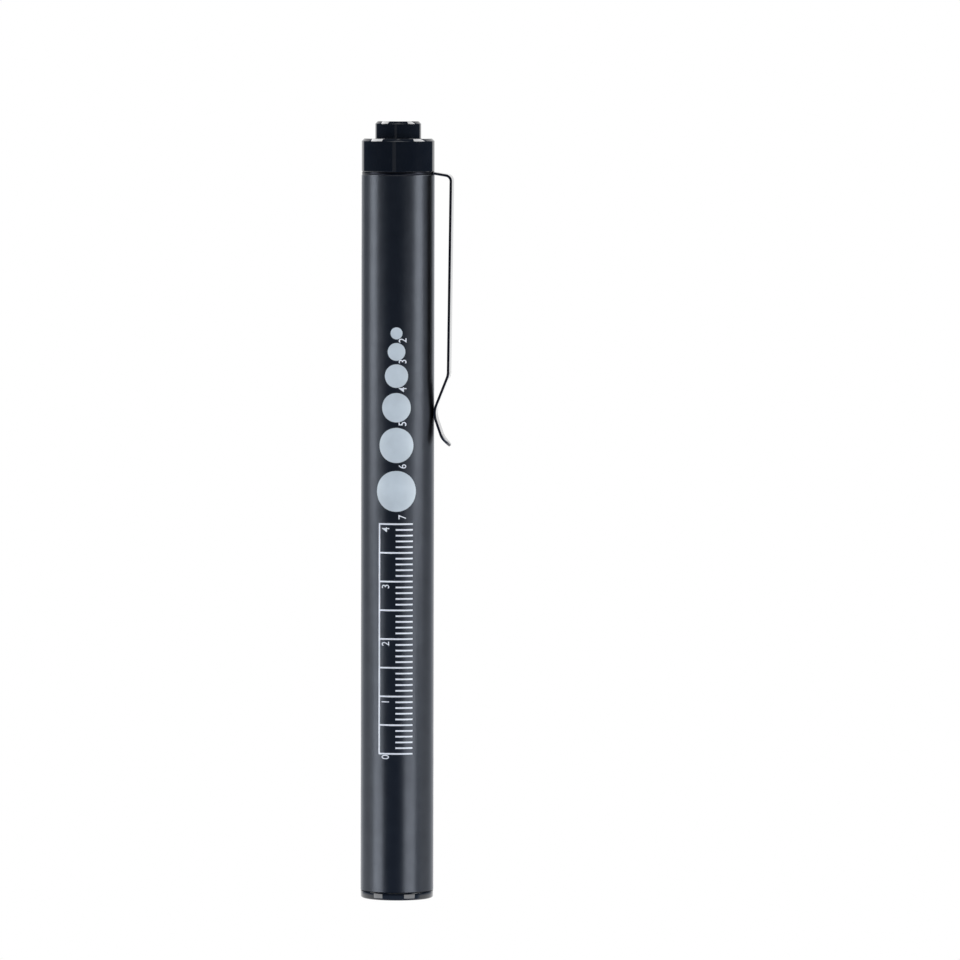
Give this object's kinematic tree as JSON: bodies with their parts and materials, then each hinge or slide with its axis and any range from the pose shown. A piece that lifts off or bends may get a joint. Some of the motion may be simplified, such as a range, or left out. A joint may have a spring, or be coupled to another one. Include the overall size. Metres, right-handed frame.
{
  "type": "diagnostic penlight",
  "caption": "Slim diagnostic penlight: round barrel, lamp head with flush window, screw-on tail cap with push button, and a sprung pocket clip.",
  "frame": {"origin": "on the barrel's axis, at the centre of the lamp window's flat front face, which is flush with the bezel's foot that the light stands on", "axes": "+Z along the barrel's axis from the lamp window up to the push button; +X from the axis towards the pocket clip; +Y completes the right-handed set"},
  "size_m": [0.0159, 0.0126, 0.1355],
  "materials": {
    "barrel": "satin",
    "gloss_black": "gloss",
    "clip_steel": "polished",
    "plated_steel": "satin",
    "brass": "satin",
    "nylon": "matte",
    "reflector": "polished",
    "clear_window": "gloss",
    "lamp_epoxy": "gloss",
    "cell_sleeve": "gloss",
    "cell_filling": "matte"
  },
  "bodies": {
    "barrel": {"barrel_tube": "barrel", "head_bezel": "gloss_black", "lamp_window": "clear_window", "reflector": "reflector", "led_lamp": "lamp_epoxy", "led_anode_leg": "plated_steel", "led_cathode_leg": "plated_steel", "lamp_holder": "nylon", "head_contact": "brass", "front_cell_can": "plated_steel", "front_cell_core": "cell_filling", "front_cell_seal": "nylon", "front_cell_negative_plate": "plated_steel", "front_cell_sleeve": "cell_sleeve", "rear_cell_can": "plated_steel", "rear_cell_core": "cell_filling", "rear_cell_seal": "nylon", "rear_cell_negative_plate": "plated_steel", "rear_cell_sleeve": "cell_sleeve"},
    "clip_carrier": {"clip_ring": "clip_steel"},
    "clip": {"clip_arm": "clip_steel"},
    "tail_cap": {"tail_collar": "gloss_black", "earth_washer": "brass", "switch_base": "nylon", "contact_rivet": "brass", "switch_retainer": "brass", "return_spring": "plated_steel", "battery_spring": "plated_steel"},
    "button": {"push_button": "gloss_black", "moving_contact": "brass"}
  },
  "joints": [
    {"name": "tail_cap_lift", "type": "slide", "parent": "barrel", "child": "clip_carrier", "axis": [0, 0, 1], "range_m": [0, 0.006]},
    {"name": "tail_cap_turn", "type": "hinge", "parent": "clip_carrier", "child": "tail_cap", "pos_m": [0, 0, 0.12625], "axis": [0, 0, 1], "range_deg": [0, 2160]},
    {"name": "button_press", "type": "slide", "parent": "tail_cap", "child": "button", "axis": [0, 0, -1], "range_m": [0, 0.002], "stiffness_N_per_m": 500, "springref_m": -0.002, "deforming": ["return_spring"]},
    {"name": "clip_flex", "type": "hinge", "parent": "clip_carrier", "child": "clip", "pos_m": [0.00635, 0, 0.12643], "axis": [0, -1, 0], "range_deg": [0, 5], "stiffness_Nm_per_rad": 3, "springref_deg": -1.15}
  ],
  "couplings": [
    {"joint": "tail_cap_turn", "follows": "tail_cap_lift", "rad_per_m": 6283.2}
  ]
}
